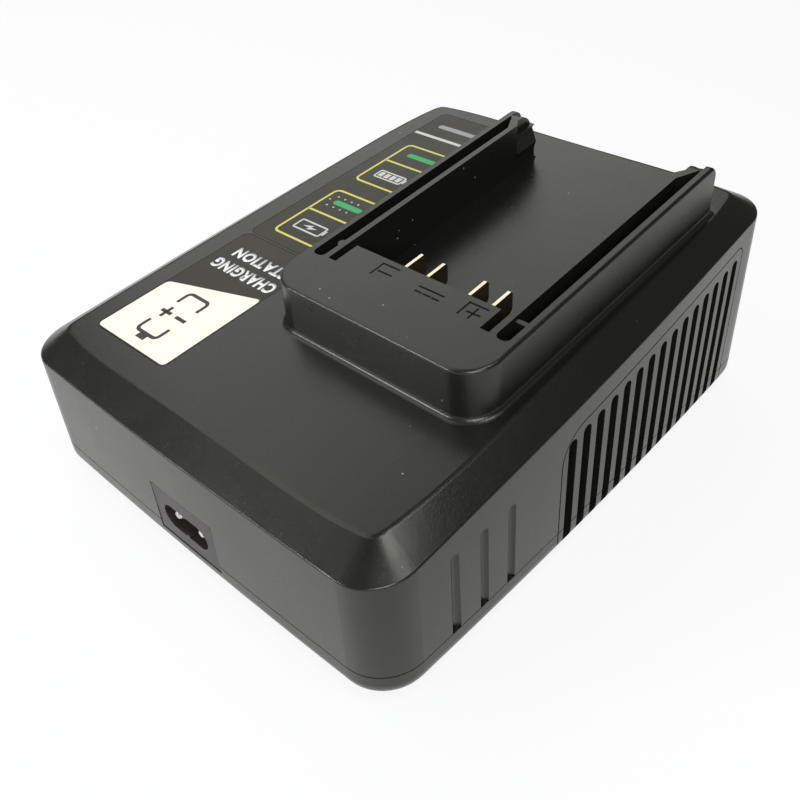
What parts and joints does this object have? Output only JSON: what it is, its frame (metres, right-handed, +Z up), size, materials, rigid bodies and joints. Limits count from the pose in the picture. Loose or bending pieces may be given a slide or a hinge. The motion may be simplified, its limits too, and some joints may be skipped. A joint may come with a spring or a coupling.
{
  "type": "power tool battery charger",
  "caption": "Wedge-shaped bench charger for slide-on power tool batteries: raised dock with guide rails and blade contacts, side vents, status light deck and a figure-eight mains inlet.",
  "frame": {"origin": "centre of the bounding box on the table surface", "axes": "+Z up from the table; -Y is the front with the mains inlet, +Y the rear where the battery bay opens; +X the side nearer the dock"},
  "size_m": [0.1222, 0.15, 0.0697],
  "materials": {
    "housing": "satin, fine spark texture",
    "foot_rubber": "matt",
    "inlet_plastic": "satin",
    "plated_pin": "bright nickel plate",
    "plated_blade": "tin plate, stamped edges",
    "block_plastic": "satin",
    "label_film": "fine satin film",
    "light_bar": "milky",
    "led_plastic": "clear",
    "board_laminate": "satin",
    "ferrite": "matt",
    "winding_tape": "polyester tape",
    "enamelled_wire": "enamel",
    "can_sleeve": "shrink sleeve",
    "film_box": "moulded box",
    "epoxy_black": "moulded epoxy",
    "disc_blue": "dipped",
    "disc_green": "dipped",
    "sheet_aluminium": "mill finish",
    "screw_steel": "zinc plate",
    "lead_black": "insulation",
    "lead_red": "insulation",
    "lead_white": "insulation"
  },
  "bodies": {
    "root": {"top_housing": "housing", "bottom_housing": "housing", "rubber_feet": "foot_rubber", "inlet_socket": "inlet_plastic", "inlet_pins": "plated_pin", "terminal_block": "block_plastic", "front_label": "label_film", "legend_label": "label_film", "status_window": "light_bar", "led_board": "board_laminate", "status_leds": "led_plastic", "main_board": "board_laminate", "transformer_core": "ferrite", "transformer_winding": "winding_tape", "bulk_capacitor": "can_sleeve", "output_capacitors": "can_sleeve", "emi_choke_core": "ferrite", "emi_choke_windings": "enamelled_wire", "x_capacitor": "film_box", "fuse": "epoxy_black", "thermistor": "disc_green", "bridge_rectifier": "epoxy_black", "primary_heat_sink": "sheet_aluminium", "switch_transistor": "epoxy_black", "output_heat_sink": "sheet_aluminium", "output_diode": "epoxy_black", "optocoupler": "epoxy_black", "control_chip": "epoxy_black", "y_capacitor": "disc_blue", "board_screws": "screw_steel", "housing_screws": "screw_steel", "mains_leads": "lead_black", "output_leads": "lead_red", "led_leads": "lead_white", "battery_blade_1": "plated_blade", "battery_blade_2": "plated_blade", "battery_blade_3": "plated_blade", "battery_blade_4": "plated_blade"}
  },
  "joints": []
}
